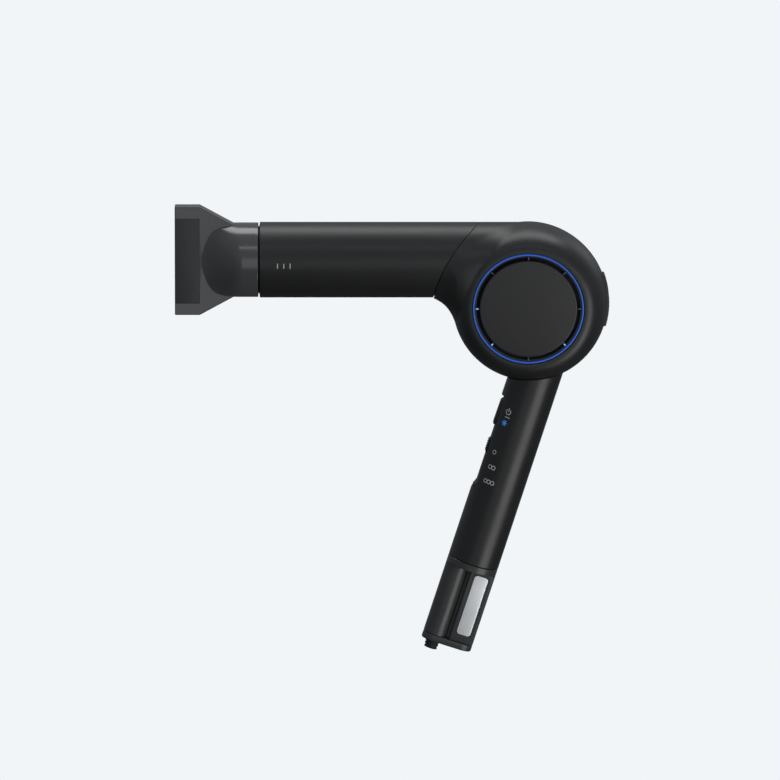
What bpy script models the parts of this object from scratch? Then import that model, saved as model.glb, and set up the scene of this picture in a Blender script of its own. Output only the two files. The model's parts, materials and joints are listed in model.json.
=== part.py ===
"""A hair dryer: a long round barrel, a volute head with a side intake on each face, a leaning
handle with its controls, and a flat concentrator nozzle that turns on the barrel.

Shapes are drawn in millimetres about the fan's centre: X runs back from the nozzle to the head,
Y runs to the dryer's right and Z is up. The handle's own pieces are drawn in the handle's frame,
whose Z runs up the handle's axis and whose -X side is the front. Both frames hang from one empty
at the middle of the grip, which is the part's origin.
"""

import math

import bmesh
import bpy
from mathutils import Matrix, Vector

MM = 0.001
GAP = 0.3  # between pieces that touch on the real dryer
FACETS = 28

# Barrel and its seam with the head, which is cut by an upright cylinder
BARREL_R = 22.3
BARREL_Z = 25.05
BARREL_FRONT = -158.2
WALL = 2.0
BORE_R = BARREL_R - WALL
SEAM_CENTRE = (13.7, -8.3)
SEAM_R = 70.5

# Head: round at the rear and top, and tighter towards the front, as a fan's volute
HEAD_HALF = 25.7
REAR_R = 46.95
TOP_R = 47.3
FRONT_R = 44.6
FLAT_R = 34.0
CHIN_FILLET_R = 16.5
CHIN_X = -59.6

# Mode button, on the head's rear
MODE_TILT = 2.0
MODE_LENGTH = 31.4
MODE_HALF = 6.0
MODE_PROUD = 0.9

# Side intake, on both faces
INTAKE_R = 32.6
LED_INNER_R, LED_OUTER_R = 31.0, 32.3
DISC_R = 28.4
RIBS = 8
DISC_FACE = 26.0
LEDGE_Y = 18.9

# Handle, measured down its axis from the point under the head
LEAN = math.radians(17.99)
HANDLE_TOP = Vector((4.2, 0.0, -44.3))
HANDLE_R = 15.25
HANDLE_BORE = 13.1
HANDLE_END = 170.0
GRIP_DOWN = 95.0
RECESS = (16.6, 70.4, 75.4)
FLOOR = -13.15
PANEL_LIP = -14.65
BUTTON_SPAN = (18.6, 34.6)
BUTTON_FACE = -14.85
SLIDER_CENTRE = 48.1
SLIDER_LENGTH = 8.7
SLIDER_TRAVEL = 15.0
BAND = (117.7, 121.7)

# Tail: a round bar in front and a flat plate with an inlay behind it
BAR_R = 7.15
BAR_X = BAR_R - HANDLE_R
PLATE_X = 0.3
PLATE_HALF = 6.5
WEB_HALF = 3.0
INLAY_X = (3.0, 12.0)
END_SCREW_X = 7.5

# Nozzle
NOZZLE_REAR = -159.1
NECK_R = 22.0
CORE_REAR, FLARE_START, FLARE_END, NOZZLE_FRONT = -168.0, -174.4, -193.6, -208.3
SLAB_HALF = 5.4
SLOT_HALF = 3.7
MOUTH_HALF = 32.3
SIDE_PANEL_HALF = 25.4

# Fan
SHAFT_R = 1.5
MOTOR_R = 12.5
WHEEL_R = 29.0
WHEEL_INNER_R = 22.5
WHEEL_HALF = 13.0
BLADES = 12


def clear_scene():
    for thing in list(bpy.data.objects):
        bpy.data.objects.remove(thing)


def material(name, colour, roughness, metallic=0.0):
    made = bpy.data.materials.new(name)
    made.use_nodes = True
    shader = made.node_tree.nodes["Principled BSDF"]
    shader.inputs["Base Color"].default_value = (*colour, 1.0)
    shader.inputs["Roughness"].default_value = roughness
    shader.inputs["Metallic"].default_value = metallic
    return made


def mesh_from(points, faces):
    mesh = bpy.data.meshes.new("shape")
    mesh.from_pydata([tuple(p) for p in points], [], faces)
    work = bmesh.new()
    work.from_mesh(mesh)
    bmesh.ops.recalc_face_normals(work, faces=work.faces)
    work.to_mesh(mesh)
    work.free()
    return mesh


def loft(rings, closed=False):
    """A skin over rings of equal length, with flat ends, or joined end to end when closed."""
    count = len(rings[0])
    points = [p for ring in rings for p in ring]
    faces = []
    for k in range(len(rings) - (0 if closed else 1)):
        low = k * count
        high = (k + 1) % len(rings) * count
        for i in range(count):
            j = (i + 1) % count
            faces.append((low + i, low + j, high + j, high + i))
    if not closed:
        faces.append(tuple(range(count)))
        faces.append(tuple(range(len(points) - count, len(points))))
    return mesh_from(points, faces)


def turned(profile, facets=FACETS, axis="Z", centre=(0.0, 0.0, 0.0)):
    """A closed profile of (radius, height) spun about an axis: a ring, or a solid one whose
    profile starts and ends on the axis."""
    solid = profile[0][0] == 0 and profile[-1][0] == 0
    turn = {"X": Matrix.Rotation(math.pi / 2, 4, "Y"), "Y": Matrix.Rotation(-math.pi / 2, 4, "X")}
    placed = Matrix.Translation(centre) @ turn.get(axis, Matrix.Identity(4))
    rows = []
    for radius, height in profile:
        row = []
        for k in range(facets):
            angle = 2 * math.pi * (k + 0.5) / facets
            row.append(placed @ Vector((radius * math.cos(angle), radius * math.sin(angle), height)))
        rows.append(row)
    if not solid:
        return loft(rows, closed=True)
    return loft(rows[1:-1])


def rod(radius, low, high, axis="Z", centre=(0.0, 0.0, 0.0), facets=FACETS):
    return turned([(0, low), (radius, low), (radius, high), (0, high)], facets, axis, centre)


def tube(inner, outer, low, high, axis="Z", centre=(0.0, 0.0, 0.0), facets=FACETS):
    profile = [(inner, low), (outer, low), (outer, high), (inner, high)]
    return turned(profile, facets, axis, centre)


def box(low, high):
    (x0, y0, z0), (x1, y1, z1) = low, high
    ring = [(x0, y0), (x1, y0), (x1, y1), (x0, y1)]
    return loft([[(x, y, z0) for x, y in ring], [(x, y, z1) for x, y in ring]])


def slab(outline, half):
    """An outline of (x, z) given a thickness of half to each side of Y = 0."""
    return loft([[(x, -half, z) for x, z in outline], [(x, half, z) for x, z in outline]])


def arc(cx, cz, radius, start, end, steps):
    """Points of an arc, in degrees from +X towards +Z."""
    return [
        (
            cx + radius * math.cos(math.radians(start + (end - start) * k / steps)),
            cz + radius * math.sin(math.radians(start + (end - start) * k / steps)),
        )
        for k in range(steps + 1)
    ]


def combined(base, others, operation):
    """The base with each of the others added (UNION), cut away (DIFFERENCE) or kept in common."""
    work = bpy.data.objects.new("work", base)
    bpy.context.scene.collection.objects.link(work)
    helpers = []
    for other in others:
        helper = bpy.data.objects.new("helper", other)
        helper.hide_render = True
        helper.display_type = "WIRE"
        bpy.context.scene.collection.objects.link(helper)
        helpers.append(helper)
        step = work.modifiers.new("step", "BOOLEAN")
        step.operation = operation
        step.object = helper
    bpy.context.view_layer.update()
    made = bpy.data.meshes.new_from_object(work.evaluated_get(bpy.context.evaluated_depsgraph_get()))
    for thing in [work, *helpers]:
        bpy.data.objects.remove(thing)
    return made


def joined(base, *others):
    return combined(base, others, "UNION")


def cut(base, *others):
    return combined(base, others, "DIFFERENCE")


def common(base, *others):
    return combined(base, others, "INTERSECT")


def mirrored(mesh):
    """The same shape on the other side of Y = 0."""
    twin = mesh.copy()
    twin.transform(Matrix.Scale(-1, 4, (0, 1, 0)))
    twin.flip_normals()
    return twin


def piece(name, mesh, look, parent, at=(0.0, 0.0, 0.0)):
    """One node, with its origin at a point of its parent's frame."""
    own = mesh.copy()
    own.transform(Matrix.Scale(MM, 4) @ Matrix.Translation(-Vector(at)))
    own.materials.clear()
    own.materials.append(look)
    own.shade_smooth()
    own.set_sharp_from_angle(angle=math.radians(35))
    made = bpy.data.objects.new(name, own)
    made.parent = parent
    made.location = Vector(at) * MM
    bpy.context.scene.collection.objects.link(made)
    return made


def frame(name, location, turn=0.0, parent=None):
    made = bpy.data.objects.new(name, None)
    made.parent = parent
    made.location = location
    made.rotation_euler = (0.0, turn, 0.0)
    bpy.context.scene.collection.objects.link(made)
    return made


# ---- head ----


def ease(value, start, end):
    step = min(max((value - start) / (end - start), 0.0), 1.0)
    return step * step * (3 - 2 * step)


def volute(angle):
    """The head's outline, as a distance from the fan's axis."""
    turn = math.degrees(angle) % 360
    if turn < 90:
        return REAR_R + (TOP_R - REAR_R) * ease(turn, 45, 90)
    if turn < 184:
        return TOP_R + (FRONT_R - TOP_R) * ease(turn, 90, 184)
    return REAR_R + (FRONT_R - REAR_R) * max(0.0, (300 - turn) / 116)


def volute_body(inset, rounds, steps=6):
    """The head's round body: flat over the intake, then rounded to the volute's outline."""
    half = HEAD_HALF - inset
    rings = []
    for k in range(2 * steps + 1):
        tilt = math.pi / 2 * (k - steps) / steps
        ring = []
        for i in range(rounds):
            angle = 2 * math.pi * i / rounds
            outline = volute(angle) - inset
            flat = min(FLAT_R, outline - 3)
            r = flat + (outline - flat) * max(math.cos(tilt), 0.0)
            ring.append((r * math.cos(angle), half * math.sin(tilt), r * math.sin(angle)))
        rings.append(ring)
    return loft(rings)


def chin():
    """The filled corner under the barrel, with its hollow front curve, thinner towards its edge."""
    cz = BARREL_Z - BARREL_R - CHIN_FILLET_R
    touch = math.degrees(math.atan2(-cz, -CHIN_X))
    rings = []
    steps = 4
    for k in range(-steps, steps + 1):
        tilt = math.pi / 2 * k / steps
        y = 17.0 * math.sin(tilt)
        back = 9.0 * (1 - math.cos(tilt))
        edge = arc(CHIN_X, cz, CHIN_FILLET_R + back, 90, touch, 7)
        outline = [*edge, (-28.0, -26.0), (-20.0, 16.0), (CHIN_X, 16.0)]
        rings.append([(x, y, z) for x, z in outline])
    return loft(rings)


def seam_cylinder(radius):
    x, z = SEAM_CENTRE
    return rod(radius, -60, 60, "Y", (x, 0, z), 96)


def barrel_rod(radius, rear, front):
    return rod(radius, front, rear, "X", (0, 0, BARREL_Z), 40)


def head_outside():
    body = joined(volute_body(0.0, 52), barrel_rod(BARREL_R, 0, -70), chin())
    return common(body, seam_cylinder(SEAM_R - GAP))


def mode_button_shape(spread, inner, outer):
    """A curved pad on the head's rear, along its outline."""
    half_turn = math.degrees((MODE_LENGTH / 2 + spread) / REAR_R)
    low, high = MODE_TILT - half_turn, MODE_TILT + half_turn
    outline = [*arc(0, 0, outer, low, high, 10), *arc(0, 0, inner, high, low, 10)]
    return slab(outline, MODE_HALF + spread)


def head_shells(root, look):
    scroll = common(volute_body(WALL, 32, 4), box((-60, -LEDGE_Y, -60), (60, LEDGE_Y, 60)))
    hollow = joined(scroll, barrel_rod(BORE_R, 0, -75))
    intake_way = rod(30.4, -40, 40, "Y", facets=48)
    seat = rod(INTAKE_R, LEDGE_Y + 2.1, 40, "Y", facets=48)
    screws = [rod(1.5, -LEDGE_Y - 2.5, -LEDGE_Y + 5, "Y", point, 12) for point in mount_screw_points()]
    shell = cut(head_outside(), hollow, intake_way, seat, mirrored(seat), *screws)
    collar_way = rod(HANDLE_BORE, -14, 20)
    collar_way.transform(handle_matrix())
    shell = cut(shell, collar_way, mode_button_shape(0.5, REAR_R - 8, REAR_R + 5))
    left = common(shell, box((-90, -40, -60), (60, -GAP / 2, 60)))
    right = common(shell, box((-90, GAP / 2, -60), (60, 40, 60)))
    piece("head_shell_left", left, look["shell"], root)
    piece("head_shell_right", right, look["shell"], root)


def intake(root, look, side):
    """A face disc held by ribs inside a rim, the light ring over the rim, and the foam behind."""
    back = DISC_FACE - 2.0
    edge = [(DISC_R, back), (DISC_R, DISC_FACE - 0.5), (DISC_R - 0.5, DISC_FACE)]
    disc = turned([(0, back), *edge, (0, DISC_FACE)], 48, "Y")
    rim_top = DISC_FACE - 2.6
    parts = [tube(30.6, LED_OUTER_R, rim_top - 2.0, rim_top, "Y", facets=48)]
    for k in range(RIBS):
        rib = box((27.0, rim_top - 0.8, -0.5), (31.4, DISC_FACE - 1.0, 0.5))
        notch = box((30.5, rim_top + GAP, -1.0), (33.0, DISC_FACE, 1.0))
        rib = cut(rib, notch)
        rib.transform(Matrix.Rotation(2 * math.pi * k / RIBS, 4, "Y"))
        parts.append(rib)
    grille = joined(disc, *parts)
    light = tube(LED_INNER_R, LED_OUTER_R, rim_top + GAP, DISC_FACE - 0.2, "Y", facets=48)
    foam = tube(25.5, 30.2, rim_top - 2.2, rim_top - 1.1, "Y")
    shapes = {"intake_grille": grille, "light_ring": light, "intake_filter": foam}
    finishes = {"intake_grille": "grille", "light_ring": "light", "intake_filter": "foam"}
    for name, mesh in shapes.items():
        own = mesh if side == "right" else mirrored(mesh)
        piece(f"{name}_{side}", own, look[finishes[name]], root)


# ---- fan ----


def mount_angles():
    return [math.radians(90 + 120 * k) for k in range(3)]


def mount_screw_points():
    return [(31.9 * math.cos(angle), 0.0, 31.9 * math.sin(angle)) for angle in mount_angles()]


def motor(root, look):
    """The stator in its mount, whose three arms are screwed to the left intake's ledge."""
    arm_low, arm_high = -LEDGE_Y + GAP, -LEDGE_Y + 1.8
    rim = tube(MOTOR_R + GAP, MOTOR_R + 3, -LEDGE_Y - 1.5, -LEDGE_Y + 2.0, "Y")
    arms = []
    holes = []
    screw_profile = [(0, arm_low - 2.2), (1.2, arm_low - 2.2), (1.2, arm_high + GAP)]
    screw_profile += [(2.1, arm_high + GAP), (2.1, arm_high + 1.5), (0, arm_high + 1.5)]
    for k, (angle, point) in enumerate(zip(mount_angles(), mount_screw_points())):
        arm = box((MOTOR_R + 1.5, arm_low, -3.0), (34.2, arm_high, 3.0))
        arm.transform(Matrix.Rotation(-angle, 4, "Y"))
        arms.append(arm)
        holes.append(rod(1.5, arm_low - 4, arm_high + 5, "Y", point, 12))
        piece(f"mount_screw_{k + 1}", turned(screw_profile, 12, "Y", point), look["steel"], root)
    piece("motor_mount", cut(joined(rim, *arms), *holes), look["inner"], root)
    piece("motor_stator", tube(4.4, MOTOR_R, -20.0, -3.0, "Y"), look["steel"], root)
    for k, low in enumerate((-19.4, -5.6)):
        bearing = tube(SHAFT_R + 0.1, 4.1, low, low + 2.2, "Y", facets=24)
        piece(f"motor_bearing_{k + 1}", bearing, look["steel"], root)


def rotor(root, look):
    """The shaft, and a double-sided wheel: a plate with a boss, blades and an end ring each side."""
    piece("motor_shaft", rod(SHAFT_R, -20.6, 5.0, "Y", facets=24), look["steel"], root)
    bore = SHAFT_R + 0.1
    profile = [(bore, -2.2), (5, -2.2), (5, -0.9), (WHEEL_R, -0.9)]
    profile += [(WHEEL_R, 0.9), (5, 0.9), (5, 3.4), (bore, 3.4)]
    plate = turned(profile, 24, "Y")
    reach = WHEEL_HALF - 0.5
    rim_ends = (-WHEEL_HALF, WHEEL_HALF - 1.2)
    rims = [tube(WHEEL_R - 2.2, WHEEL_R, low, low + 1.2, "Y", facets=24) for low in rim_ends]
    blades = []
    for k in range(BLADES):
        blade = box((0.0, -reach, -0.5), (WHEEL_R - WHEEL_INNER_R + 1.0, reach, 0.5))
        blade.transform(Matrix.Rotation(math.radians(-35), 4, "Y"))
        blade.transform(Matrix.Translation((WHEEL_INNER_R, 0, 0)))
        blade.transform(Matrix.Rotation(2 * math.pi * k / BLADES, 4, "Y"))
        blades.append(blade)
    piece("impeller", joined(plate, *rims, *blades), look["inner"], root)


def mode_button(root, look):
    pad = mode_button_shape(0.0, REAR_R - 3.0, REAR_R + MODE_PROUD)
    piece("mode_button", pad, look["button"], root, (REAR_R - 1.0, 0, 0))
    piece("mode_switch", box((38.6, -3.5, -2.0), (42.6, 3.5, 5.0)), look["inner"], root)


# ---- barrel ----


def barrel(root, look):
    sleeve = tube(BORE_R, BARREL_R, BARREL_FRONT, -10, "X", (0, 0, BARREL_Z), 40)
    counterbore = barrel_rod(21.1, BARREL_FRONT + 3.6, BARREL_FRONT - 3)
    sleeve = cut(sleeve, seam_cylinder(SEAM_R), counterbore)
    piece("barrel_sleeve", sleeve, look["shell"], root)
    axis = (0, 0, BARREL_Z)
    ring = tube(BORE_R + 0.1, 20.8, BARREL_FRONT - 0.2, BARREL_FRONT + 3.3, "X", axis)
    piece("barrel_magnet_ring", ring, look["black_steel"], root)
    piece("outlet_collar", tube(18.7, 19.8, -168.4, -150.4, "X", axis), look["black_steel"], root)
    rings = [tube(r, r + 1.1, -157.4, -155.4, "X", axis, 24) for r in (8.0, 17.2)]
    bars = [box((-157.2, -0.5, -17.8), (-155.6, 0.5, 17.8)) for _ in range(3)]
    for k, bar in enumerate(bars):
        bar.transform(Matrix.Translation(axis) @ Matrix.Rotation(math.pi * k / 3, 4, "X"))
    piece("outlet_grille", joined(rings[0], *rings[1:], *bars), look["inner"], root)


def heater(root, look):
    axis = Vector((0, 0, BARREL_Z))
    piece("heater_tube", tube(19.0, 19.6, -150.0, -62.0, "X", axis), look["mica"], root)
    across, thin = 13.4, 0.5
    plus = [(-thin, -across), (thin, -across), (thin, -thin), (across, -thin), (across, thin)]
    plus += [(thin, thin), (thin, across), (-thin, across), (-thin, thin), (-across, thin)]
    plus += [(-across, -thin), (-thin, -thin)]
    ends = [[(x, y, z + BARREL_Z) for y, z in plus] for x in (-145.0, -66.0)]
    piece("heater_cross", loft(ends), look["mica"], root)
    turns, wire, sides = 5, 0.6, 5
    steps = turns * 12
    rings = []
    for k in range(steps + 1):
        angle = 2 * math.pi * turns * k / steps
        x = -140.0 + 64.0 * k / steps
        outward = Vector((0, math.cos(angle), math.sin(angle)))
        ring = []
        for i in range(sides):
            round_wire = 2 * math.pi * i / sides
            swing = 15.4 + wire * math.cos(round_wire)
            ring.append(axis + outward * swing + Vector((x + wire * math.sin(round_wire), 0, 0)))
        rings.append(ring)
    piece("heater_coil", loft(rings), look["steel"], root)
    piece("thermal_fuse", rod(1.6, -122, -111, "X", (0, 6, BARREL_Z + 6), 16), look["steel"], root)
    piece("thermostat", rod(5.0, -71.0, -67.0, "X", (0, -7, BARREL_Z - 7), 24), look["steel"], root)
    piece("ion_emitter", box((-153.4, 5, BARREL_Z + 5), (-148, 10, BARREL_Z + 9)), look["inner"], root)


# ---- nozzle ----


def nozzle_depth(x, rear_depth, front_depth):
    """Half the depth of the nozzle's round body as it flattens towards the mouth."""
    return front_depth + (rear_depth - front_depth) * ease(x, FLARE_END, CORE_REAR)


def nozzle_core(height, rear_depth, front_depth, rear, front):
    steps = 8
    stations = [rear] + [CORE_REAR + (front - CORE_REAR) * k / steps for k in range(steps + 1)]
    rings = []
    for x in stations:
        depth = nozzle_depth(x, rear_depth, front_depth)
        ring = []
        for i in range(FACETS):
            angle = 2 * math.pi * i / FACETS
            ring.append((x, depth * math.cos(angle), BARREL_Z + height * math.sin(angle)))
        rings.append(ring)
    return loft(rings)


def mouth(half, neck_half, slot_half, rear, front):
    outline = [(rear, neck_half), (FLARE_START, neck_half), (FLARE_END, slot_half), (front, slot_half)]
    outline += [(x, -z) for x, z in reversed(outline)]
    return slab([(x, z + BARREL_Z) for x, z in outline], half)


def nozzle(root, look):
    """A round neck that flattens into a tall slot, with straight wings above and below it."""
    at = (NOZZLE_REAR, 0, BARREL_Z)
    outer = joined(
        nozzle_core(NECK_R, NECK_R, SLAB_HALF - 0.4, NOZZLE_REAR, FLARE_END),
        mouth(SLAB_HALF, NECK_R - 0.5, MOUTH_HALF, -170, NOZZLE_FRONT),
        tube(BORE_R + 1.2, BARREL_R, NOZZLE_REAR - 3.6, NOZZLE_REAR, "X", (0, 0, BARREL_Z)),
    )
    inner = joined(
        nozzle_core(BORE_R, BORE_R, SLOT_HALF - 0.3, NOZZLE_REAR + 1, FLARE_END + 0.8),
        mouth(SLOT_HALF, 18.0, MOUTH_HALF - 2.0, -172, NOZZLE_FRONT - 1),
    )
    pocket = barrel_rod(21.0, NOZZLE_REAR + 1, NOZZLE_REAR - 3.6)
    panels = []
    for side in (-1, 1):
        low = (NOZZLE_FRONT - 1, side * SLAB_HALF - 0.5, BARREL_Z - SIDE_PANEL_HALF)
        high = (FLARE_END, side * SLAB_HALF + 0.5, BARREL_Z + SIDE_PANEL_HALF)
        panels.append(box(low, high))
    piece("nozzle_shell", cut(outer, inner, pocket, *panels), look["nozzle"], root, at)
    magnets = tube(BORE_R + 0.1, 20.7, NOZZLE_REAR - 3.3, NOZZLE_REAR - 0.1, "X", (0, 0, BARREL_Z))
    piece("nozzle_magnet_ring", magnets, look["black_steel"], root, at)


# ---- handle ----


def handle_matrix():
    return Matrix.Translation(HANDLE_TOP) @ Matrix.Rotation(LEAN, 4, "Y")


def recess_outline(front):
    """The control recess in the handle's (x, z) plane: a flat floor, then a ramp out."""
    top, floor_end, ramp_end = RECESS
    return [(front, -top), (FLOOR, -top), (FLOOR, -floor_end), (-HANDLE_R, -ramp_end), (front, -ramp_end)]


def handle(grip, look):
    body = tube(HANDLE_BORE, HANDLE_R, -BAND[0] + GAP, 14, facets=40)
    head_way = volute_body(-GAP, 52)
    head_way.transform(handle_matrix().inverted())
    recess = slab(recess_outline(-20), 20)
    window = box((-20, -6.3, -RECESS[2] + 1.6), (-6, 6.3, -RECESS[0] - 0.4))
    piece("handle_tube", cut(body, head_way, recess, window), look["handle"], grip)
    piece("handle_collar", tube(11.2, 12.5, -15.0, 8.0), look["inner"], grip)
    lead_hole = rod(3.4, -BAND[1] - 1, -BAND[0] + 1, "Z", (BAR_X, 0, 0), 16)
    band = cut(rod(HANDLE_R, -BAND[1], -BAND[0], facets=40), lead_hole)
    piece("handle_band", band, look["band"], grip)


def panel(grip, look):
    top, floor_end, ramp_end = RECESS
    back = FLOOR + 1.7
    low = -ramp_end + 1.9
    outline = [(FLOOR, -top - 0.7), (FLOOR, -floor_end), (PANEL_LIP, low), (back, low), (back, -top - 0.7)]
    plate = slab(outline, 6.0)
    button_way = box((-20, -4.8, -BUTTON_SPAN[1] - GAP), (0, 4.8, -BUTTON_SPAN[0] + GAP))
    slot_end = SLIDER_CENTRE + SLIDER_TRAVEL + 2.4
    slot = box((-20, -1.6, -slot_end), (0, 1.6, -SLIDER_CENTRE + 2.4))
    piece("control_panel", cut(plate, button_way, slot), look["panel"], grip)
    piece("switch_board", box((-8.4, -5.5, -74), (-7.2, 5.5, -19)), look["board"], grip)
    piece("power_switch", box((-10.2, -2.5, -30), (-8.7, 2.5, -23)), look["inner"], grip)
    piece("speed_switch", box((-10.0, -3.5, -70), (-8.7, 3.5, -42)), look["inner"], grip)


def controls(grip, look):
    """The wedge-shaped power button, and the slider with the neck that goes through its slot."""
    top, low = -BUTTON_SPAN[0], -BUTTON_SPAN[1]
    back = FLOOR + 1.7
    wedge = [(FLOOR - 0.3, top), (BUTTON_FACE + 0.2, top - 1.6), (BUTTON_FACE, low)]
    wedge += [(back, low), (back, top)]
    at = (FLOOR, 0.0, (top + low) / 2)
    piece("power_button", slab(wedge, 4.5), look["button"], grip, at)
    half = SLIDER_LENGTH / 2
    mid = -SLIDER_CENTRE
    face = FLOOR - GAP
    knob = [(face, mid + half), (face - 0.5, mid + half - 0.5)]
    knob += [(face - 0.9, mid - half + 0.5), (face, mid - half)]
    neck = box((face - 0.2, -1.2, mid - 2.0), (-10.4, 1.2, mid + 2.0))
    piece("speed_slider", joined(slab(knob, 4.2), neck), look["button"], grip, (FLOOR, 0.0, mid))


def tail(grip, look):
    top, end = -BAND[1] - GAP, -HANDLE_END + 4 + GAP
    bar = tube(4.9, BAR_R, end, top, centre=(BAR_X, 0, 0))
    piece("tail_bar", bar, look["band"], grip)
    plate = rod(HANDLE_R, end, top)
    plate = common(plate, box((PLATE_X, -PLATE_HALF, -200), (20, PLATE_HALF, 0)))
    web = box((-2.0, -WEB_HALF, end + 0.1), (2.0, WEB_HALF, top - 0.1))
    bed = rod(BAR_R + GAP, end - 1, top + 1, centre=(BAR_X, 0, 0))
    plate = cut(joined(plate, web), bed)
    seats = [inlay_shape(side, -0.4, 1.0, GAP) for side in (-1, 1)]
    hole = rod(1.5, end - 1, end + 8, "Z", (END_SCREW_X, 0, 0), 12)
    piece("tail_plate", cut(plate, hole, *seats), look["band"], grip)
    for side, name in ((-1, "left"), (1, "right")):
        piece(f"tail_inlay_{name}", inlay_shape(side, -0.1, 0.3, 0.0), look["silver"], grip)


def inlay_shape(side, below, above, grow):
    """A strip with round corners on one flat of the tail plate."""
    low_y, high_y = sorted((side * (PLATE_HALF + below), side * (PLATE_HALF + above)))
    x0, x1 = INLAY_X[0] - grow, INLAY_X[1] + grow
    z0, z1 = -HANDLE_END + 9 - grow, -BAND[1] - 1.6 + grow
    r = 1.8
    outline = arc(x1 - r, z1 - r, r, 0, 90, 4) + arc(x0 + r, z1 - r, r, 90, 180, 4)
    outline += arc(x0 + r, z0 + r, r, 180, 270, 4) + arc(x1 - r, z0 + r, r, 270, 360, 4)
    return loft([[(x, low_y, z) for x, z in outline], [(x, high_y, z) for x, z in outline]])


def handle_end(grip, look):
    """A long rounded cap under bar and plate, with its screw, and the cord gland in the bar."""
    low, top = -HANDLE_END, -HANDLE_END + 4
    reach = HANDLE_R - BAR_R
    outline = arc(reach, 0, BAR_R, -90, 90, 10) + arc(-reach, 0, BAR_R, 90, 270, 10)
    cap = loft([[(x, y, low) for x, y in outline], [(x, y, top) for x, y in outline]])
    screw_way = rod(1.5, low - 1, top + 1, "Z", (END_SCREW_X, 0, 0), 12)
    gland_way = rod(4.9, low - 1, top + 1, "Z", (BAR_X, 0, 0), 24)
    piece("end_cap", cut(cap, screw_way, gland_way), look["band"], grip)
    screw = rod(1.2, low + 0.4, low + 9, "Z", (END_SCREW_X, 0, 0), 12)
    piece("end_screw", screw, look["steel"], grip)
    profile = [(3.0, low - 5), (3.9, low - 5), (4.5, low), (4.5, top + 3), (3.0, top + 3)]
    piece("cord_gland", turned(profile, 24, centre=(BAR_X, 0, 0)), look["rubber"], grip)


def electronics(grip, look):
    piece("control_board", box((0.0, -9.5, -110), (1.6, 9.5, -78)), look["board"], grip)
    piece("filter_capacitor", rod(5.0, -108, -92, "Z", (7.2, 0, 0), 20), look["inner"], grip)
    lead = rod(2.4, -HANDLE_END + 9, -113, "Z", (BAR_X, 0, 0), 12)
    piece("inner_lead", lead, look["rubber"], grip)


def main():
    clear_scene()
    look = {
        "shell": material("shell_plastic", (0.028, 0.028, 0.030), 0.45),
        "handle": material("handle_plastic", (0.028, 0.028, 0.030), 0.42),
        "nozzle": material("nozzle_plastic", (0.060, 0.061, 0.064), 0.32),
        "band": material("band_plastic", (0.055, 0.056, 0.058), 0.40),
        "panel": material("panel_plastic", (0.022, 0.022, 0.024), 0.50),
        "button": material("button_plastic", (0.020, 0.020, 0.022), 0.45),
        "grille": material("grille_plastic", (0.050, 0.050, 0.052), 0.40),
        "inner": material("inner_plastic", (0.030, 0.030, 0.032), 0.55),
        "light": material("light_guide", (0.05, 0.20, 0.75), 0.25),
        "foam": material("filter_foam", (0.010, 0.010, 0.011), 0.95),
        "steel": material("steel", (0.55, 0.55, 0.56), 0.35, 1.0),
        "black_steel": material("black_steel", (0.020, 0.020, 0.022), 0.50, 1.0),
        "silver": material("satin_silver", (0.55, 0.58, 0.61), 0.30, 0.8),
        "mica": material("mica_board", (0.52, 0.47, 0.36), 0.60),
        "board": material("circuit_board", (0.03, 0.16, 0.07), 0.50),
        "rubber": material("rubber", (0.018, 0.018, 0.018), 0.75),
    }
    grip_point = handle_matrix() @ Vector((0, 0, -GRIP_DOWN))
    root = frame("hair_dryer", -grip_point * MM)
    grip = frame("handle_frame", HANDLE_TOP * MM, LEAN, root)
    head_shells(root, look)
    intake(root, look, "left")
    intake(root, look, "right")
    motor(root, look)
    rotor(root, look)
    mode_button(root, look)
    barrel(root, look)
    heater(root, look)
    nozzle(root, look)
    handle(grip, look)
    panel(grip, look)
    controls(grip, look)
    tail(grip, look)
    handle_end(grip, look)
    electronics(grip, look)


main()
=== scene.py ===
import json
import math

import bmesh
import bpy
from mathutils import Matrix, Vector


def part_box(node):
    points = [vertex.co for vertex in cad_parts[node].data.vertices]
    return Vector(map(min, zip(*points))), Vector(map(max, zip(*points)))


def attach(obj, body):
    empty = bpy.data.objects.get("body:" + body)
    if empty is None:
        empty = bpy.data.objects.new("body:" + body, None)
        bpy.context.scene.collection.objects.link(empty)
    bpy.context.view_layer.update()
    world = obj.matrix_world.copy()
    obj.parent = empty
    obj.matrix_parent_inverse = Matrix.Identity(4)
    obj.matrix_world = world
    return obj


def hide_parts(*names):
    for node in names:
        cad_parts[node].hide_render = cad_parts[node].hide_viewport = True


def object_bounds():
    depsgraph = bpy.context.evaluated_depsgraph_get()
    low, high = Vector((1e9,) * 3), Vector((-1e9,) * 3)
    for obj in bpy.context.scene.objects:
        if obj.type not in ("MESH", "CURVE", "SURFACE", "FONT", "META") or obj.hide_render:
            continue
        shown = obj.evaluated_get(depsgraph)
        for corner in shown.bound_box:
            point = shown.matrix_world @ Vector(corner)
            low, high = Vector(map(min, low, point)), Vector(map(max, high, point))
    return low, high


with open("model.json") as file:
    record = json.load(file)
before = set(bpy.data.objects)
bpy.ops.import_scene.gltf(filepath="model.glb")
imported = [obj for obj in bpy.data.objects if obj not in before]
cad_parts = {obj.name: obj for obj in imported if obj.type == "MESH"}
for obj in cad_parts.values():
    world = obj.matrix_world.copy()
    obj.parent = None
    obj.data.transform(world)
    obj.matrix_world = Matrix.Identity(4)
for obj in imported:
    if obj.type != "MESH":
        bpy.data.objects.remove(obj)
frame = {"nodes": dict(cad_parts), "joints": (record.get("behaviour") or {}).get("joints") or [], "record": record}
cad_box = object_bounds()

# Shapes are drawn in millimetres, either about the fan's centre (HEAD: X back, Y to the dryer's
# right, Z up) or in the handle's frame (GRIP: Z up its axis from under the head, -X its front).
MM = 0.001
GAP = 0.3
FACETS = 128

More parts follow.
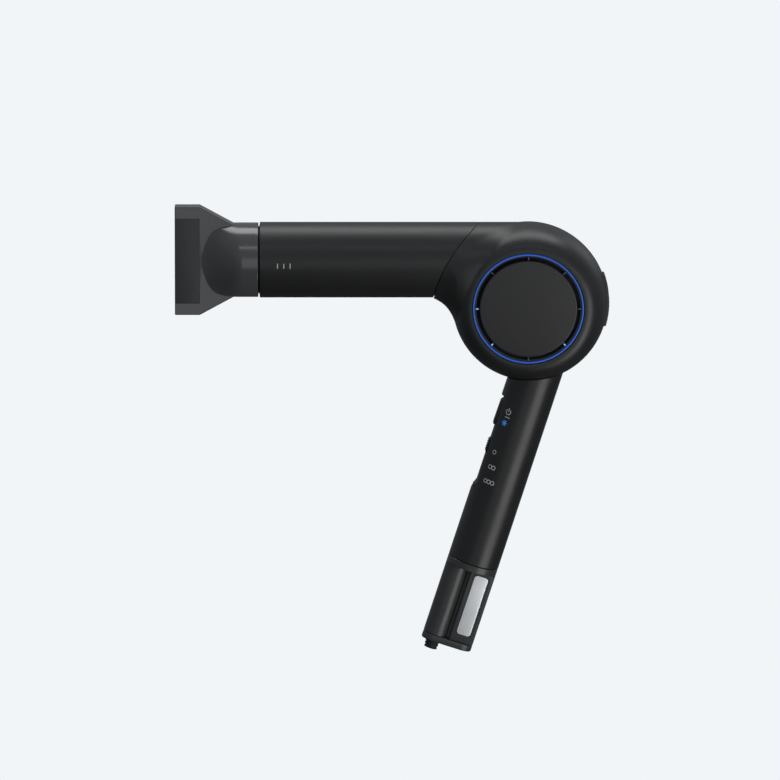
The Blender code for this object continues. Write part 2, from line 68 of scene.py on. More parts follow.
JOINTS = {joint["name"]: joint for joint in frame["joints"]}
FAN = Vector(JOINTS["fan_spin"]["pos_m"])
NOZZLE_JOINT = (Vector(JOINTS["nozzle_spin"]["pos_m"]) - FAN) / MM
UP = -Vector(JOINTS["speed_slide"]["axis"])
ACROSS = Vector((UP.z, 0.0, -UP.x))
GRIP_DOWN = 95.0
HEAD = Matrix.Translation(FAN) @ Matrix.Scale(MM, 4)
TURN = Matrix((ACROSS, Vector((0, 1, 0)), UP)).transposed().to_4x4()
GRIP = Matrix.Translation(UP * GRIP_DOWN * MM) @ TURN @ Matrix.Scale(MM, 4)


def span(node):
    """A CAD node's lowest and highest corner about the fan's centre, in millimetres."""
    low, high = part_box(node)
    return (low - FAN) / MM, (high - FAN) / MM


# Barrel, nozzle and seam
BARREL_R = 22.3
BARREL_BORE = 21.1
BARREL_Z = NOZZLE_JOINT.z
BARREL_FRONT = span("barrel_sleeve")[0].x
SEAM_CENTRE = (13.7, -8.3)
SEAM_R = 70.5
SEAM_GAP = 0.15
NOZZLE_REAR = NOZZLE_JOINT.x
NOZZLE_FRONT = span("nozzle_shell")[0].x
CORE_REAR, FLARE_START, FLARE_END = -168.0, -174.4, -193.6
NECK_R = 22.0
NECK_BORE = 20.2
SLAB_HALF = 5.4
SLOT_HALF = 3.7
MOUTH_HALF = (span("nozzle_shell")[1].z - span("nozzle_shell")[0].z) / 2
MAGNET_SEAT_R, MAGNET_SEAT = 21.0, 3.6
SIDE_PANEL_HALF, SIDE_PANEL_DEEP = 25.4, 0.5
SHEET_HALF = 0.1

# Head
HEAD_HALF = span("head_shell_right")[1].y
REAR_R = 46.95
TOP_R = 47.3
FRONT_R = 44.6
FLAT_R = 34.0
CHIN_R = 16.0
PARTING = 0.15
SHELL_WALL = 1.8
COLLAR_WAY_R = 12.9
MODE_TILT = 2.0
MODE_LENGTH = 31.4
MODE_HALF = 6.0
MODE_PROUD = 0.9
MODE_CLEARANCE = 0.5

# Intake
INTAKE_R = 32.9
LED_INNER_R, LED_OUTER_R = 31.75, 32.6
DISC_R = 28.7
LEDGE_Y = 18.9
RIM_BELOW = 2.6  # how far the grille's rim lies below the disc's face
DISC_FACE = span("intake_grille_right")[1].y
LED_FACE = span("light_ring_right")[1].y
RIBS = 8

# Handle
HANDLE_R = 15.25
HANDLE_BORE = 13.0
HANDLE_END = 170.0
RECESS = (16.6, 70.4, 75.4)
FLOOR = -13.15
PANEL_LIP = -14.65
PANEL_HALF, PANEL_WAY = 6.0, 6.3
BUTTON_HALF, BUTTON_WAY = 4.5, 4.75
BUTTON_SPAN = (18.6, 34.6)
BUTTON_FACE = -14.85
SLIDER_CENTRE = 48.1
SLIDER_LENGTH, SLIDER_HALF = 8.7, 4.2
SLIDER_TRAVEL = 1000 * JOINTS["speed_slide"]["range_m"][1]
BAND = (117.7, 121.7)
BAR_R = 7.15
BAR_X = BAR_R - HANDLE_R
PLATE_X = 0.3
PLATE_HALF = 6.5
WEB_HALF = 3.0
INLAY = (3.3, 11.7)
INLAY_SEAT = (2.9, 12.7)
INLAY_TOP = 124.0
END_SCREW_X = 7.5


# ---- mesh tools ----


def mesh_from(points, faces):
    mesh = bpy.data.meshes.new("shape")
    mesh.from_pydata([tuple(p) for p in points], [], faces)
    work = bmesh.new()
    work.from_mesh(mesh)
    bmesh.ops.recalc_face_normals(work, faces=work.faces)
    work.to_mesh(mesh)
    work.free()
    return mesh


def loft(rings, closed=False):
    """A skin over rings of equal length, with flat ends, or joined end to end when closed."""
    count = len(rings[0])
    points = [p for ring in rings for p in ring]
    faces = []
    for k in range(len(rings) - (0 if closed else 1)):
        low = k * count
        high = (k + 1) % len(rings) * count
        for i in range(count):
            j = (i + 1) % count
            faces.append((low + i, low + j, high + j, high + i))
    if not closed:
        faces.append(tuple(range(count)))
        faces.append(tuple(range(len(points) - count, len(points))))
    return mesh_from(points, faces)


def turned(profile, facets=FACETS, axis="Z", centre=(0.0, 0.0, 0.0)):
    """A closed profile of (radius, height) spun about an axis: a ring, or a solid one whose
    profile starts and ends on the axis."""
    solid = profile[0][0] == 0 and profile[-1][0] == 0
    turn = {"X": Matrix.Rotation(math.pi / 2, 4, "Y"), "Y": Matrix.Rotation(-math.pi / 2, 4, "X")}
    placed = Matrix.Translation(centre) @ turn.get(axis, Matrix.Identity(4))
    rows = []
    for radius, height in profile:
        row = []
        for k in range(facets):
            angle = 2 * math.pi * (k + 0.5) / facets
            row.append(placed @ Vector((radius * math.cos(angle), radius * math.sin(angle), height)))
        rows.append(row)
    if not solid:
        return loft(rows, closed=True)
    return loft(rows[1:-1])


def rod(radius, low, high, axis="Z", centre=(0.0, 0.0, 0.0), facets=FACETS):
    return turned([(0, low), (radius, low), (radius, high), (0, high)], facets, axis, centre)


def tube(inner, outer, low, high, axis="Z", centre=(0.0, 0.0, 0.0), facets=FACETS):
    profile = [(inner, low), (outer, low), (outer, high), (inner, high)]
    return turned(profile, facets, axis, centre)


def box(low, high):
    (x0, y0, z0), (x1, y1, z1) = low, high
    ring = [(x0, y0), (x1, y0), (x1, y1), (x0, y1)]
    return loft([[(x, y, z0) for x, y in ring], [(x, y, z1) for x, y in ring]])


def slab(outline, half):
    """An outline of (x, z) given a thickness of half to each side of Y = 0."""
    return loft([[(x, -half, z) for x, z in outline], [(x, half, z) for x, z in outline]])


def arc(cx, cz, radius, start, end, steps):
    """Points of an arc, in degrees from the first axis towards the second."""
    points = []
    for k in range(steps + 1):
        angle = math.radians(start + (end - start) * k / steps)
        points.append((cx + radius * math.cos(angle), cz + radius * math.sin(angle)))
    return points


def round_rectangle(x0, x1, z0, z1, radius, steps=8):
    return [
        *arc(x1 - radius, z1 - radius, radius, 0, 90, steps),
        *arc(x0 + radius, z1 - radius, radius, 90, 180, steps),
        *arc(x0 + radius, z0 + radius, radius, 180, 270, steps),
        *arc(x1 - radius, z0 + radius, radius, 270, 360, steps),
    ]


def shaped(mesh, set_up):
    """The mesh with modifiers applied, which set_up adds to the object that it is given."""
    work = bpy.data.objects.new("work", mesh)
    bpy.context.scene.collection.objects.link(work)
    helpers = set_up(work)
    bpy.context.view_layer.update()
    made = bpy.data.meshes.new_from_object(work.evaluated_get(bpy.context.evaluated_depsgraph_get()))
    for thing in [work, *helpers]:
        bpy.data.objects.remove(thing)
    return made


def combined(base, others, operation):
    def add_steps(work):
        helpers = []
        for other in others:
            helper = bpy.data.objects.new("helper", other)
            helper.hide_render = True
            bpy.context.scene.collection.objects.link(helper)
            helpers.append(helper)
            step = work.modifiers.new("step", "BOOLEAN")
            step.operation = operation
            step.object = helper
        return helpers

    return shaped(base, add_steps)


def joined(base, *others):
    return combined(base, others, "UNION")


def cut(base, *others):
    return combined(base, others, "DIFFERENCE")


def thickened(mesh, thickness):
    """A surface given a wall on its inner side."""

    def add_wall(work):
        wall = work.modifiers.new("wall", "SOLIDIFY")
        wall.thickness = thickness
        wall.offset = -1.0
        return []

    return shaped(mesh, add_wall)


def eased(mesh, width, segments=3, angle=35):
    """The mesh with its sharp edges rounded."""

    def add_round(work):
        rounding = work.modifiers.new("round", "BEVEL")
        rounding.width = width
        rounding.segments = segments
        rounding.limit_method = "ANGLE"
        rounding.angle_limit = math.radians(angle)
        return []

    return shaped(mesh, add_round)


def mirrored(mesh):
    """The same shape on the other side of Y = 0."""
    twin = mesh.copy()
    twin.transform(Matrix.Scale(-1, 4, (0, 1, 0)))
    twin.flip_normals()
    return twin


def shade_by(mesh, ideal, closeness):
    """Shades each corner by the ideal surface's normal, where its face lies along that surface."""
    wanted = [ideal(vertex.co) for vertex in mesh.vertices]
    normals = [None] * len(mesh.loops)
    for polygon in mesh.polygons:
        for corner in polygon.loop_indices:
            normal = wanted[mesh.loops[corner].vertex_index]
            along = normal.length > 0 and normal.dot(polygon.normal) > closeness
            normals[corner] = normal if along else polygon.normal.copy()
    mesh.normals_split_custom_set(normals)


def piece(name, mesh, finish, place, body, stands_for=(), ideal=None, closeness=0.85):
    """One visible piece that rides on a body and stands for CAD nodes."""
    own = mesh.copy()
    own.materials.clear()
    own.materials.append(finish)
    own.shade_smooth()
    own.set_sharp_from_angle(angle=math.radians(30))
    if ideal:
        shade_by(own, ideal, closeness)
    own.transform(place)
    made = bpy.data.objects.new(name, own)
    bpy.context.scene.collection.objects.link(made)
    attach(made, body)
    if stands_for:
        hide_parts(*stands_for)
    return made


# ---- materials ----


def new_material(name):
    made = bpy.data.materials.new(name)
    made.use_nodes = True
    return made, made.node_tree.nodes, made.node_tree.links


def noise(nodes, links, scale, detail=2.0, stretch=None):
    where = nodes.new("ShaderNodeTexCoord")
    texture = nodes.new("ShaderNodeTexNoise")
    texture.inputs["Scale"].default_value = scale
    texture.inputs["Detail"].default_value = detail
    if stretch:
        mapping = nodes.new("ShaderNodeMapping")
        mapping.inputs["Scale"].default_value = stretch
        links.new(where.outputs["Object"], mapping.inputs["Vector"])
        links.new(mapping.outputs["Vector"], texture.inputs["Vector"])
    else:
        links.new(where.outputs["Object"], texture.inputs["Vector"])
    return texture.outputs["Fac"]


def ranged(nodes, links, value, low, high):
    """Noise, whose middle part is what is met, spread over low to high."""
    scale = nodes.new("ShaderNodeMapRange")
    scale.inputs["From Min"].default_value = 0.3
    scale.inputs["From Max"].default_value = 0.7
    scale.inputs["To Min"].default_value = low
    scale.inputs["To Max"].default_value = high
    links.new(value, scale.inputs["Value"])
    return scale.outputs["Result"]


def varied(nodes, links, value, colour, spread):
    mix = nodes.new("ShaderNodeMix")
    mix.data_type = "RGBA"
    mix.inputs["A"].default_value = (*[c * (1 - spread) for c in colour], 1)
    mix.inputs["B"].default_value = (*[c * (1 + spread) for c in colour], 1)
    links.new(value, mix.inputs["Factor"])
    return mix.outputs["Result"]


def bumped(nodes, links, value, strength, depth):
    bump = nodes.new("ShaderNodeBump")
    bump.inputs["Strength"].default_value = strength
    bump.inputs["Distance"].default_value = depth
    links.new(value, bump.inputs["Height"])
    return bump.outputs["Normal"]


def grained(name, colour, roughness, grain=3200.0, bump=0.35, metallic=0.0, specular=0.5, coat=0.0):
    """A moulded or blasted surface: a fine grain, and a slow change of colour and gloss."""
    made, nodes, links = new_material(name)
    shader = nodes["Principled BSDF"]
    shader.inputs["Metallic"].default_value = metallic
    shader.inputs["Specular IOR Level"].default_value = specular
    shader.inputs["Coat Weight"].default_value = coat
    shader.inputs["Coat Roughness"].default_value = 0.25
    fine = noise(nodes, links, grain, 3.0)
    slow = noise(nodes, links, 45.0, 2.0)
    links.new(varied(nodes, links, slow, colour, 0.10), shader.inputs["Base Color"])
    links.new(ranged(nodes, links, slow, roughness - 0.03, roughness + 0.03), shader.inputs["Roughness"])
    links.new(bumped(nodes, links, fine, bump, 0.00004), shader.inputs["Normal"])
    return made


def brushed(name, colour, roughness, stretch):
    """Metal with fine lines along one axis."""
    made, nodes, links = new_material(name)
    shader = nodes["Principled BSDF"]
    shader.inputs["Metallic"].default_value = 1.0
    lines = noise(nodes, links, 900.0, 3.0, stretch)
    links.new(varied(nodes, links, lines, colour, 0.08), shader.inputs["Base Color"])
    links.new(ranged(nodes, links, lines, roughness - 0.06, roughness + 0.06), shader.inputs["Roughness"])
    links.new(bumped(nodes, links, lines, 0.12, 0.00003), shader.inputs["Normal"])
    return made


def foam(name, colour):
    """Open-cell foam: dark round pores."""
    made, nodes, links = new_material(name)
    shader = nodes["Principled BSDF"]
    shader.inputs["Roughness"].default_value = 0.95
    where = nodes.new("ShaderNodeTexCoord")
    cells = nodes.new("ShaderNodeTexVoronoi")
    cells.inputs["Scale"].default_value = 1400.0
    links.new(where.outputs["Object"], cells.inputs["Vector"])
    links.new(varied(nodes, links, cells.outputs["Distance"], colour, 0.6), shader.inputs["Base Color"])
    links.new(bumped(nodes, links, cells.outputs["Distance"], 0.8, 0.0003), shader.inputs["Normal"])
    return made


def lit(name, colour, strength, spread=0.12):
    """Something that glows, a little unevenly: the ring's light guide, the cool symbol, and the rib tips, whose
    glow is painted light from the ring.
    """
    made, nodes, links = new_material(name)
    shader = nodes["Principled BSDF"]
    shader.inputs["Base Color"].default_value = (*colour, 1)
    shader.inputs["Roughness"].default_value = 0.3
    shader.inputs["Emission Strength"].default_value = strength
    slow = noise(nodes, links, 90.0, 2.0)
    links.new(varied(nodes, links, slow, colour, spread), shader.inputs["Emission Color"])
    return made


def make_looks():
    return {
        "shell": grained("shell_plastic", (0.0165, 0.0168, 0.0175), 0.40),
        "handle": grained("handle_plastic", (0.0135, 0.0138, 0.0145), 0.36, bump=0.25),
        "nozzle": grained("nozzle_plastic", (0.076, 0.078, 0.081), 0.18, bump=0.12, specular=0.8),
        "nozzle_matte": grained("nozzle_matte", (0.046, 0.047, 0.050), 0.5, bump=0.3),
        "band": grained("band_plastic", (0.038, 0.039, 0.040), 0.34, bump=0.25),
        "panel": grained("panel_plastic", (0.012, 0.012, 0.013), 0.48),
        "button": grained("button_plastic", (0.011, 0.011, 0.012), 0.45),
        "grille": grained("grille_plastic", (0.020, 0.020, 0.021), 0.38, bump=0.25),
        "inner": grained("inner_plastic", (0.012, 0.012, 0.013), 0.55),
        "light": lit("light_guide", (0.020, 0.085, 0.40), 0.62),
        # Painted glow: the rib tips get the ring's blue light as emission, in a bright copy and a dim copy.
        "rib_painted_glow_bright": lit("rib_painted_glow_bright", (0.16, 0.42, 0.80), 0.85),
        "rib_painted_glow_dim": lit("rib_painted_glow_dim", (0.03, 0.04, 0.11), 0.5),
        "foam": foam("filter_foam", (0.004, 0.004, 0.005)),
        "steel": brushed("steel", (0.42, 0.42, 0.43), 0.36, (1.0, 8.0, 8.0)),
        "black_steel": brushed("black_steel", (0.018, 0.018, 0.020), 0.5, (1.0, 8.0, 8.0)),
        "silver": grained("satin_silver", (0.93, 0.95, 0.97), 0.40, grain=5200.0, bump=0.2, metallic=0.6),
        "mica": grained("mica_board", (0.50, 0.44, 0.33), 0.55, grain=700.0, bump=0.5),
        "board": grained("circuit_board", (0.02, 0.13, 0.05), 0.40, grain=1500.0),
        "rubber": grained("rubber", (0.010, 0.010, 0.010), 0.62, grain=2200.0, bump=0.5),
        "print": grained("grey_print", (0.60, 0.60, 0.61), 0.55, grain=6000.0, bump=0.15),
        "cool_print": lit("cool_symbol", (0.03, 0.19, 0.62), 0.75),
    }


# ---- head ----


def ease(value, start, end):
    step = min(max((value - start) / (end - start), 0.0), 1.0)
    return step * step * (3 - 2 * step)


def volute(angle):
    """The head's outline, as a distance from the fan's axis."""
    turn = math.degrees(angle) % 360
    if turn < 90:
        return REAR_R + (TOP_R - REAR_R) * ease(turn, 45, 90)
    if turn < 184:
        return TOP_R + (FRONT_R - TOP_R) * ease(turn, 90, 184)
    return REAR_R + (FRONT_R - REAR_R) * max(0.0, (300 - turn) / 116)


def tyre(x, y, z):
    """How far a point is outside the head's round body, and that body's normal there."""
    r = math.hypot(x, z)
    if r < FLAT_R + 1e-6:
        return abs(y) - HEAD_HALF, (0.0, math.copysign(1.0, y), 0.0)
    deep = volute(math.atan2(z, x)) - FLAT_R
    u, v = (r - FLAT_R) / deep, y / HEAD_HALF
    level = max(math.hypot(u, v), 1e-6)
    gu, gv = u / deep / level, v / HEAD_HALF / level
    slope = math.hypot(gu, gv)
    return (level - 1) / slope, (gu / slope * x / r, gv / slope, gu / slope * z / r)


def barrel_side(x, y, z):
    r = max(math.hypot(y, z - BARREL_Z), 1e-6)
    return max(r - BARREL_R, x), (0.0, y / r, (z - BARREL_Z) / r)


def head_level(x, y, z):
    """Below zero inside the head: its round body and the barrel, with a fillet between the two
    that is full where they meet square, as under the chin, and none where they run on."""
    a, first = tyre(x, y, z)
    b, second = barrel_side(x, y, z)
    facing = sum(p * q for p, q in zip(first, second))
    round_off = CHIN_R * min(1.0, max(0.0, 1.3 * (1 - facing)))
    near = math.hypot(max(round_off - a, 0.0), max(round_off - b, 0.0))
    return max(round_off, min(a, b)) - near


def head_normal(point):
    step = 0.05
    slope = []
    for axis in range(3):
        ahead, behind = list(point), list(point)
        ahead[axis] += step
        behind[axis] -= step
        slope.append(head_level(*ahead) - head_level(*behind))
    return Vector(slope).normalized()


def halved(low, high, inside):
    """Where a line leaves a solid, between a point inside it and one outside."""
    for _ in range(26):
        middle = (low + high) / 2
        if inside(middle):
            low = middle
        else:
            high = middle
    return low


def head_reach(angle):
    """How far the head goes in a direction from the fan's axis: to its outline or to the seam."""

    def inside(r):
        x, z = r * math.cos(angle), r * math.sin(angle)
        seam = math.hypot(x - SEAM_CENTRE[0], z - SEAM_CENTRE[1])
        return head_level(x, PARTING, z) < 0 and seam < SEAM_R - SEAM_GAP

    far = INTAKE_R
    while inside(far):
        far += 1.0
    return halved(far - 1.0, far, inside)


def head_surface():
    """The right half's outside, from the lip of the intake out to the outline and the seam."""
    rounds, steps, lip = 240, 30, 0.4
    points = []
    for i in range(rounds):
        angle = 2 * math.pi * i / rounds
        c, s = math.cos(angle), math.sin(angle)
        reach = head_reach(angle)
        points.append((INTAKE_R * c, HEAD_HALF - lip, INTAKE_R * s))
        start = INTAKE_R + lip
        for k in range(steps + 1):
            r = start + (reach - start) * math.sin(math.pi / 2 * k / steps)
            x, z = r * c, r * s
            y = halved(PARTING, HEAD_HALF + 1, lambda y: head_level(x, y, z) < 0)
            points.append((x, max(y, PARTING), z))
    row = steps + 2
    faces = []
    for i in range(rounds):
        here, after = i * row, (i + 1) % rounds * row
        for k in range(row - 1):
            faces.append((here + k, here + k + 1, after + k + 1, after + k))
    mesh = mesh_from(points, faces)
    outward = sum(polygon.normal.y for polygon in mesh.polygons)
    if outward < 0:
        mesh.flip_normals()
    return mesh


def mode_button_shape(spread, inner, outer):
    """A curved pad on the head's rear, along its outline."""
    half_turn = math.degrees((MODE_LENGTH / 2 + spread) / REAR_R)
    low, high = MODE_TILT - half_turn, MODE_TILT + half_turn
    outline = [*arc(0, 0, outer, low, high, 36), *arc(0, 0, inner, high, low, 36)]
    return slab(outline, MODE_HALF + spread)


def head_shells(looks):
    collar_way = rod(COLLAR_WAY_R, -30, 30)
    collar_way.transform(HEAD.inverted() @ GRIP)
    pocket = mode_button_shape(MODE_CLEARANCE, REAR_R - 8, REAR_R + 5)
    half = cut(thickened(head_surface(), SHELL_WALL), collar_way, pocket)
    for side, mesh in (("right", half), ("left", mirrored(half))):
        name = f"head_shell_{side}"
        piece(f"{name}_moulding", mesh, looks["shell"], HEAD, "dryer", [name], head_normal)


def mode_button(looks):
    pad = eased(mode_button_shape(0.0, REAR_R - 3.0, REAR_R + MODE_PROUD), 0.7, 4)
    dots = [
        rod(0.6, REAR_R + MODE_PROUD - 0.3, REAR_R + MODE_PROUD + 1, "X", (0, 0, z), 24)
        for z in (-2.0, 1.7, 5.4)
    ]
    piece("mode_pad", cut(pad, *dots), looks["button"], HEAD, "mode_button", ["mode_button"])


def intake(looks):
    """On each face: the disc on its ribs, the ring of light and the foam behind the gap."""
    top = DISC_FACE - RIM_BELOW
    edge = 0.7
    corner = arc(DISC_R - edge, DISC_FACE - edge, edge, 0, 90, 6)
    profile = [(0, DISC_FACE - 2.0), (DISC_R, DISC_FACE - 2.0), *corner, (0, DISC_FACE)]
    disc = turned(profile, 160, "Y")
    rim = tube(30.7, LED_OUTER_R, top - 2.0, top, "Y", facets=160)
    ribs = []
    for k in range(RIBS):
        rib = box((28.0, top - 0.8, -0.45), (31.2, DISC_FACE - 1.3, 0.45))
        rib.transform(Matrix.Rotation(2 * math.pi * k / RIBS, 4, "Y"))
        ribs.append(rib)
    grille = joined(disc, rim, *ribs)
    light = turned(round_rectangle(LED_INNER_R, LED_OUTER_R, top + GAP, LED_FACE, 0.35, 3), 160, "Y")
    filter_ring = tube(25.5, 30.6, top - 2.2, top - 1.2, "Y", facets=160)
    ledge = tube(29.8, INTAKE_R + 0.8, LEDGE_Y, LEDGE_Y + 2.0, "Y", facets=160)
    for side, flip in (("right", False), ("left", True)):
        shapes = (
            ("intake_grille", "intake_disc", grille, "grille"),
            ("light_ring", "light_band", light, "light"),
            ("intake_filter", "filter_ring", filter_ring, "foam"),
        )
        own_ledge = mirrored(ledge) if flip else ledge
        piece(f"intake_ledge_{side}", own_ledge, looks["shell"], HEAD, "dryer")
        for node, name, mesh, look in shapes:
            mesh = mirrored(mesh) if flip else mesh
            piece(f"{name}_{side}", mesh, looks[look], HEAD, "dryer", [f"{node}_{side}"])
        # The rib tips glow with the ring's blue light painted on them, brighter on three tips and dimmer on the
        # rest.
        for k in range(RIBS):
            tip = eased(box((29.5, DISC_FACE - 1.29, -0.35), (30.9, DISC_FACE - 0.9, 0.35)), 0.12, 2)
            tip.transform(Matrix.Rotation(2 * math.pi * k / RIBS, 4, "Y"))
            tip = mirrored(tip) if flip else tip
            look = looks["rib_painted_glow_bright" if k in (1, 3, 4) else "rib_painted_glow_dim"]
            piece(f"rib_tip_glow_painted_{side}_{k + 1}", tip, look, HEAD, "dryer")


# ---- barrel ----


def about_barrel(point):
    return Vector((0.0, point.y, point.z - BARREL_Z)).normalized()


def barrel(looks):
    """A long sleeve, square at the nozzle and cut along the seam at the head."""
    lip = 0.35
    rings = []
    for k in range(FACETS):
        angle = 2 * math.pi * (k + 0.5) / FACETS
        c, s = math.cos(angle), math.sin(angle)
        high = BARREL_Z + BARREL_R * s - SEAM_CENTRE[1]
        rear = SEAM_CENTRE[0] - math.sqrt(SEAM_R**2 - high**2)
        profile = [
            (BARREL_BORE, BARREL_FRONT),
            (BARREL_R - lip, BARREL_FRONT),
            (BARREL_R, BARREL_FRONT + lip),
            (BARREL_R, rear - lip),
            (BARREL_R - lip, rear),
            (BARREL_BORE, rear),
        ]
        rings.append([(x, r * c, BARREL_Z + r * s) for r, x in profile])
    sleeve = loft(rings, closed=True)
    piece("barrel_skin", sleeve, looks["shell"], HEAD, "dryer", ["barrel_sleeve"], about_barrel)


def barrel_mark(looks):
    """Three short bars printed on the barrel's left side: a plain pattern with no meaning."""
    first, pitch, length, width = -147.6, 3.7, 3.0, 0.55
    for k in range(3):
        x = first + pitch * k
        strip = wrapped_strip([(x, -length / 2), (x, length / 2)], width)
        piece(f"barrel_mark_{k + 1}", strip, looks["print"], HEAD, "dryer")


def wrapped_strip(line, width, height=0.03):
    """A straight printed line on the barrel's left side, of (x, way round)."""
    points = []
    (x0, v0), (x1, v1) = line
    along = Vector((x1 - x0, v1 - v0)).normalized()
    across = Vector((-along.y, along.x)) * width / 2
    steps = 6
    for k in range(steps + 1):
        centre = Vector((x0, v0)).lerp(Vector((x1, v1)), k / steps)
        for side in (-1, 1):
            spot = centre + side * across
            angle = spot.y / BARREL_R
            r = BARREL_R + height
            points.append((spot.x, -r * math.cos(angle), BARREL_Z + r * math.sin(angle)))
    faces = [(2 * k, 2 * k + 1, 2 * k + 3, 2 * k + 2) for k in range(steps)]
    return mesh_from(points, faces)


# ---- nozzle ----


def nozzle_depth(x, rear_depth, front_depth):
    return front_depth + (rear_depth - front_depth) * ease(x, FLARE_END, CORE_REAR)


def nozzle_core(height, rear_depth, front_depth, rear, front, stations=36):
    rings = []
    places = [rear] + [rear + (front - rear) * (k + 1) / stations for k in range(stations)]
    for x in places:
        depth = nozzle_depth(x, rear_depth, front_depth)
        ring = []
        for i in range(FACETS):
            angle = 2 * math.pi * i / FACETS
            ring.append((x, depth * math.cos(angle), BARREL_Z + height * math.sin(angle)))
        rings.append(ring)
    return loft(rings)


def nozzle_normal(point):
    """The round body's normal at a point on it, and nothing at a point on the flat mouth."""
    depth = nozzle_depth(point.x, NECK_R, SLAB_HALF - 0.05)
    u, v = point.y / depth, (point.z - BARREL_Z) / NECK_R
    if abs(math.hypot(u, v) - 1) > 0.004:
        return Vector((0, 0, 0))
    taper = (nozzle_depth(point.x + 0.1, NECK_R, SLAB_HALF - 0.05) - depth) / 0.1
    return Vector((-u * u * taper / depth, u / depth, v / NECK_R)).normalized()


def mouth(half, slot_half, front):
    outline = [(-168, slot_half * 0.55), (FLARE_START + 0.5, slot_half * 0.667)]
    outline += [(FLARE_END, slot_half), (front, slot_half)]
    outline += [(x, -z) for x, z in reversed(outline)]
    return slab([(x, z + BARREL_Z) for x, z in outline], half)


def nozzle_sheet_outline():
    """The matt floor of the shallow panel on each flat of the mouth."""
    low, high = BARREL_Z - SIDE_PANEL_HALF + 0.1, BARREL_Z + SIDE_PANEL_HALF - 0.1
    front, rear = NOZZLE_FRONT, FLARE_END - 0.1
    return [(front, low), (rear, low), (rear, high), (front, high)]


def nozzle(looks):
    """A round neck that flattens into a tall mouth with straight wings, hollow all through."""
    outer = joined(
        eased(nozzle_core(NECK_R, NECK_R, SLAB_HALF - 0.05, NOZZLE_REAR, FLARE_END), 0.4, 3, 60),
        eased(mouth(SLAB_HALF, MOUTH_HALF, NOZZLE_FRONT), 0.55, 3, 25),
    )
    inner = joined(
        nozzle_core(NECK_BORE, NECK_BORE, SLOT_HALF - 0.3, NOZZLE_REAR + 1, FLARE_END + 0.8),
        mouth(SLOT_HALF, MOUTH_HALF - 2.0, NOZZLE_FRONT - 1),
    )
    pocket = rod(MAGNET_SEAT_R, NOZZLE_REAR - MAGNET_SEAT, NOZZLE_REAR + 1, "X", (0, 0, BARREL_Z))
    panels = []
    for side in (-1, 1):
        low = (NOZZLE_FRONT - 1, side * SLAB_HALF - SIDE_PANEL_DEEP, BARREL_Z - SIDE_PANEL_HALF)
        high = (FLARE_END, side * SLAB_HALF + SIDE_PANEL_DEEP, BARREL_Z + SIDE_PANEL_HALF)
        panels.append(box(low, high))
    shell = cut(outer, inner, pocket, *panels)
    look = looks["nozzle"]
    piece("nozzle_moulding", shell, look, HEAD, "nozzle", ["nozzle_shell"], nozzle_normal, 0.985)
    for side, name in ((-1, "left"), (1, "right")):
        sheet = eased(slab(nozzle_sheet_outline(), SHEET_HALF), SHEET_HALF / 2, 2)
        out = side * (SLAB_HALF - SIDE_PANEL_DEEP + SHEET_HALF)
        sheet.transform(Matrix.Translation((0, out, 0)))
        piece(f"nozzle_sheet_{name}", sheet, looks["nozzle_matte"], HEAD, "nozzle")


# ---- handle ----


def about_handle(point):
    return Vector((point.x, point.y, 0.0)).normalized()


def handle_top(x, y):
    """How high the handle goes at a place of its section: to a gap below the head."""

    def clear(z):
        spot = (HEAD.inverted() @ GRIP) @ Vector((x, y, z))
        return head_level(*spot) > GAP

    return halved(-12.0, 16.0, clear)


def handle(looks):
    lip = 0.3
    low = -BAND[0] + GAP
    rings = []
    for k in range(FACETS):
        angle = 2 * math.pi * (k + 0.5) / FACETS
        c, s = math.cos(angle), math.sin(angle)
        top = handle_top(HANDLE_R * c, HANDLE_R * s)
        profile = [
            (HANDLE_BORE, low),
            (HANDLE_R - lip, low),
            (HANDLE_R, low + lip),
            (HANDLE_R, top - lip),
            (HANDLE_R - lip, top),
            (HANDLE_BORE, top),
        ]
        rings.append([(r * c, r * s, z) for r, z in profile])
    body = loft(rings, closed=True)
    top, floor_end, ramp_end = RECESS
    recess = [(-20, -top), (FLOOR, -top), (FLOOR, -floor_end), (-HANDLE_R, -ramp_end)]
    recess.append((-20, -ramp_end))
    window = box((-20, -PANEL_WAY, -ramp_end + 1.6), (-6, PANEL_WAY, -top - 0.4))
    body = cut(body, slab(recess, 20), window)
    piece("handle_skin", body, looks["handle"], GRIP, "dryer", ["handle_tube"], about_handle)
    edge = 0.25
    profile = [(0, -BAND[1]), (HANDLE_R - edge, -BAND[1]), (HANDLE_R, -BAND[1] + edge)]
    profile += [(HANDLE_R, -BAND[0] - edge), (HANDLE_R - edge, -BAND[0]), (0, -BAND[0])]
    piece("handle_band_ring", turned(profile), looks["band"], GRIP, "dryer", ["handle_band"])


def panel(looks):
    top, floor_end, ramp_end = RECESS
    back = FLOOR + 1.7
    low = -ramp_end + 1.9
    outline = [(FLOOR, -top - 0.7), (FLOOR, -floor_end), (PANEL_LIP, low), (back, low), (back, -top - 0.7)]
    clearance = BUTTON_WAY - BUTTON_HALF
    low_end, high_end = -BUTTON_SPAN[1] - clearance, -BUTTON_SPAN[0] + clearance
    button_way = box((-20, -BUTTON_WAY, low_end), (0, BUTTON_WAY, high_end))
    slot_end = SLIDER_CENTRE + SLIDER_TRAVEL + 2.4
    slot = box((-20, -1.6, -slot_end), (0, 1.6, -SLIDER_CENTRE + 2.4))
    plate = cut(eased(slab(outline, PANEL_HALF), 0.2, 2), button_way, slot)
    piece("control_plate", plate, looks["panel"], GRIP, "dryer", ["control_panel"])


